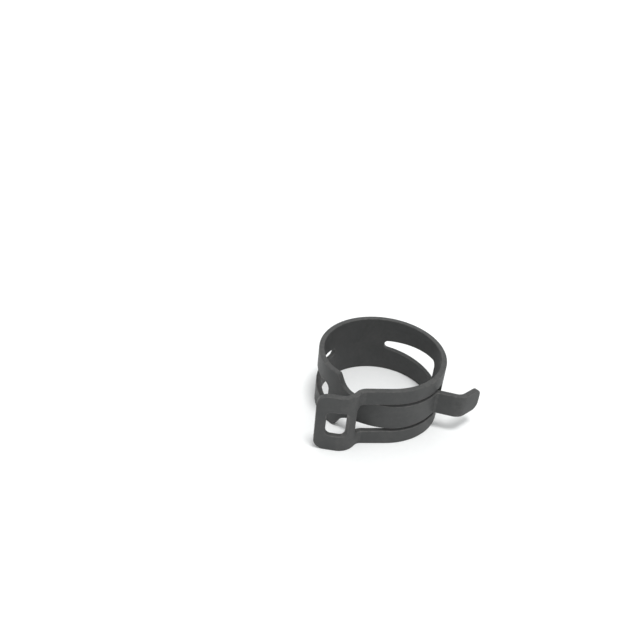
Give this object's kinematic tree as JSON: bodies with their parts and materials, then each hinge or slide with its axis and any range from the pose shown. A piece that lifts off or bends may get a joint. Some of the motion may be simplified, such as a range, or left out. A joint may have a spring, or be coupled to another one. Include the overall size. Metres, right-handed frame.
{
  "type": "spring band hose clamp",
  "caption": "Constant-tension spring-band hose clamp: one rolled strip with a tongue passing through a forked slot, opened by squeezing two ears.",
  "frame": {"origin": "centre of the bore, half way along the strip's width", "axes": "+Z along the ring's axis, +Y towards the middle of the band's back, so the two ears stand towards -Y; seen from +Z the tongue arm runs anticlockwise from the back"},
  "size_m": [0.0321, 0.0242, 0.012],
  "materials": {
    "coated_spring_steel": "thin satin-black protective coat on spring steel, slightly brighter on bends and sheared edges"
  },
  "bodies": {
    "back": {"back_band": "coated_spring_steel"},
    "fork_1": {"fork_strap": "coated_spring_steel", "fork_rail_upper_1": "coated_spring_steel", "fork_rail_lower_1": "coated_spring_steel"},
    "fork_2": {"fork_rail_upper_2": "coated_spring_steel", "fork_rail_lower_2": "coated_spring_steel"},
    "fork_3": {"fork_rail_upper_3": "coated_spring_steel", "fork_rail_lower_3": "coated_spring_steel", "fork_bridge": "coated_spring_steel"},
    "fork_4": {"fork_crotch": "coated_spring_steel", "fork_leg_upper_1": "coated_spring_steel", "fork_leg_lower_1": "coated_spring_steel"},
    "fork_5": {"fork_leg_upper_2": "coated_spring_steel", "fork_leg_lower_2": "coated_spring_steel"},
    "fork_6": {"fork_leg_upper_3": "coated_spring_steel", "fork_leg_lower_3": "coated_spring_steel", "fork_ramp_upper": "coated_spring_steel", "fork_ramp_lower": "coated_spring_steel", "window_ear_root": "coated_spring_steel", "window_ear_plate": "coated_spring_steel"},
    "tongue_1": {"tongue_strap": "coated_spring_steel", "tongue_rail_upper_1": "coated_spring_steel", "tongue_rail_lower_1": "coated_spring_steel"},
    "tongue_2": {"tongue_rail_upper_2": "coated_spring_steel", "tongue_rail_lower_2": "coated_spring_steel"},
    "tongue_3": {"tongue_rail_upper_3": "coated_spring_steel", "tongue_rail_lower_3": "coated_spring_steel", "tongue_bridge": "coated_spring_steel"},
    "tongue_4": {"tongue_shoulder": "coated_spring_steel", "tongue_blade_1": "coated_spring_steel"},
    "tongue_5": {"tongue_blade_2": "coated_spring_steel"},
    "tongue_6": {"tongue_blade_3": "coated_spring_steel", "grip_ear_root": "coated_spring_steel", "grip_ear_bend": "coated_spring_steel", "grip_ear_tip": "coated_spring_steel"}
  },
  "joints": [
    {"name": "fork_flex_1", "type": "hinge", "parent": "back", "child": "fork_1", "pos_m": [0.0042, 0.01124, 0], "axis": [0, 0, 1], "range_deg": [0, 5], "stiffness_Nm_per_rad": 0.01},
    {"name": "fork_flex_2", "type": "hinge", "parent": "fork_1", "child": "fork_2", "pos_m": [0.00952, 0.0073, 0], "axis": [0, 0, 1], "range_deg": [0, 5], "stiffness_Nm_per_rad": 0.01},
    {"name": "fork_flex_3", "type": "hinge", "parent": "fork_2", "child": "fork_3", "pos_m": [0.01195, 0.00115, 0], "axis": [0, 0, 1], "range_deg": [0, 5], "stiffness_Nm_per_rad": 0.01},
    {"name": "fork_flex_4", "type": "hinge", "parent": "fork_3", "child": "fork_4", "pos_m": [0.01074, -0.00535, 0], "axis": [0, 0, 1], "range_deg": [0, 5], "stiffness_Nm_per_rad": 0.01},
    {"name": "fork_flex_5", "type": "hinge", "parent": "fork_4", "child": "fork_5", "pos_m": [0.00627, -0.01023, 0], "axis": [0, 0, 1], "range_deg": [0, 5], "stiffness_Nm_per_rad": 0.01},
    {"name": "fork_flex_6", "type": "hinge", "parent": "fork_5", "child": "fork_6", "pos_m": [-0.00011, -0.012, 0], "axis": [0, 0, 1], "range_deg": [0, 5], "stiffness_Nm_per_rad": 0.01},
    {"name": "tongue_flex_1", "type": "hinge", "parent": "back", "child": "tongue_1", "pos_m": [-0.0042, 0.01124, 0], "axis": [0, 0, -1], "range_deg": [0, 5], "stiffness_Nm_per_rad": 0.01},
    {"name": "tongue_flex_2", "type": "hinge", "parent": "tongue_1", "child": "tongue_2", "pos_m": [-0.00952, 0.0073, 0], "axis": [0, 0, -1], "range_deg": [0, 5], "stiffness_Nm_per_rad": 0.01},
    {"name": "tongue_flex_3", "type": "hinge", "parent": "tongue_2", "child": "tongue_3", "pos_m": [-0.01195, 0.00115, 0], "axis": [0, 0, -1], "range_deg": [0, 5], "stiffness_Nm_per_rad": 0.01},
    {"name": "tongue_flex_4", "type": "hinge", "parent": "tongue_3", "child": "tongue_4", "pos_m": [-0.01074, -0.00535, 0], "axis": [0, 0, -1], "range_deg": [0, 5], "stiffness_Nm_per_rad": 0.01},
    {"name": "tongue_flex_5", "type": "hinge", "parent": "tongue_4", "child": "tongue_5", "pos_m": [-0.00627, -0.01023, 0], "axis": [0, 0, -1], "range_deg": [0, 5], "stiffness_Nm_per_rad": 0.01},
    {"name": "tongue_flex_6", "type": "hinge", "parent": "tongue_5", "child": "tongue_6", "pos_m": [0.00011, -0.012, 0], "axis": [0, 0, -1], "range_deg": [0, 5], "stiffness_Nm_per_rad": 0.01}
  ],
  "couplings": [
    {"joint": "fork_flex_2", "follows": "fork_flex_1", "ratio": 1},
    {"joint": "fork_flex_3", "follows": "fork_flex_1", "ratio": 1},
    {"joint": "fork_flex_4", "follows": "fork_flex_1", "ratio": 1},
    {"joint": "fork_flex_5", "follows": "fork_flex_1", "ratio": 1},
    {"joint": "fork_flex_6", "follows": "fork_flex_1", "ratio": 1},
    {"joint": "tongue_flex_1", "follows": "fork_flex_1", "ratio": 1},
    {"joint": "tongue_flex_2", "follows": "fork_flex_1", "ratio": 1},
    {"joint": "tongue_flex_3", "follows": "fork_flex_1", "ratio": 1},
    {"joint": "tongue_flex_4", "follows": "fork_flex_1", "ratio": 1},
    {"joint": "tongue_flex_5", "follows": "fork_flex_1", "ratio": 1},
    {"joint": "tongue_flex_6", "follows": "fork_flex_1", "ratio": 1}
  ]
}
